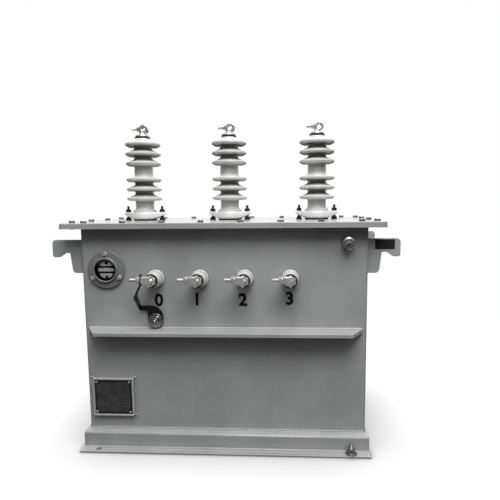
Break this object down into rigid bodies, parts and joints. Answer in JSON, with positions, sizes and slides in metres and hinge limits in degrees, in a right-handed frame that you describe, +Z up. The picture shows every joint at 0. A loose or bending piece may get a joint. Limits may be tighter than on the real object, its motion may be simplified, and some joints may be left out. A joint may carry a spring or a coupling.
{
  "type": "pole mounted transformer",
  "caption": "Oil-filled distribution transformer: rectangular steel tank with bolted cover, porcelain bushings on the cover and the front wall, lifting lugs and base rails",
  "frame": {"origin": "on the floor, midway between the four base holes, under the middle of the tank", "axes": "+Z up, +X along the long side, -Y out of the front wall that carries the low-voltage bushings"},
  "size_m": [1.198, 0.65, 1.158],
  "materials": {
    "tank_paint": "satin",
    "gasket_rubber": "matte",
    "porcelain": "gloss",
    "flange_metal": "satin",
    "terminal_metal": "satin",
    "strap_metal": "satin",
    "gauge_glass": "gloss",
    "plate_metal": "satin"
  },
  "bodies": {
    "root": {"tank_front_shell": "tank_paint", "tank_back_shell": "tank_paint", "tank_floor": "tank_paint", "rim_flange": "tank_paint", "cover_gasket": "gasket_rubber", "cover_plate": "tank_paint", "front_base_rail": "tank_paint", "back_base_rail": "tank_paint", "front_stiffener": "tank_paint", "back_stiffener": "tank_paint", "lifting_lug_front_left": "tank_paint", "lifting_lug_back_left": "tank_paint", "lifting_lug_front_right": "tank_paint", "lifting_lug_back_right": "tank_paint", "hv_base_gaskets": "gasket_rubber", "hv_top_washers": "gasket_rubber", "lv_washers": "gasket_rubber", "neutral_strap": "strap_metal", "strap_boss": "tank_paint", "gauge_ring": "tank_paint", "gauge_window": "gauge_glass", "rating_plate_bracket": "tank_paint", "rating_plate": "plate_metal", "relief_valve_body": "terminal_metal", "relief_valve_ring": "terminal_metal", "hv_porcelain_1": "porcelain", "hv_base_flange_1": "flange_metal", "hv_terminal_1": "terminal_metal", "hv_porcelain_2": "porcelain", "hv_base_flange_2": "flange_metal", "hv_terminal_2": "terminal_metal", "hv_porcelain_3": "porcelain", "hv_base_flange_3": "flange_metal", "hv_terminal_3": "terminal_metal", "lv_porcelain_0": "porcelain", "lv_terminal_0": "terminal_metal", "lv_porcelain_1": "porcelain", "lv_terminal_1": "terminal_metal", "lv_porcelain_2": "porcelain", "lv_terminal_2": "terminal_metal", "lv_porcelain_3": "porcelain", "lv_terminal_3": "terminal_metal"}
  },
  "joints": []
}
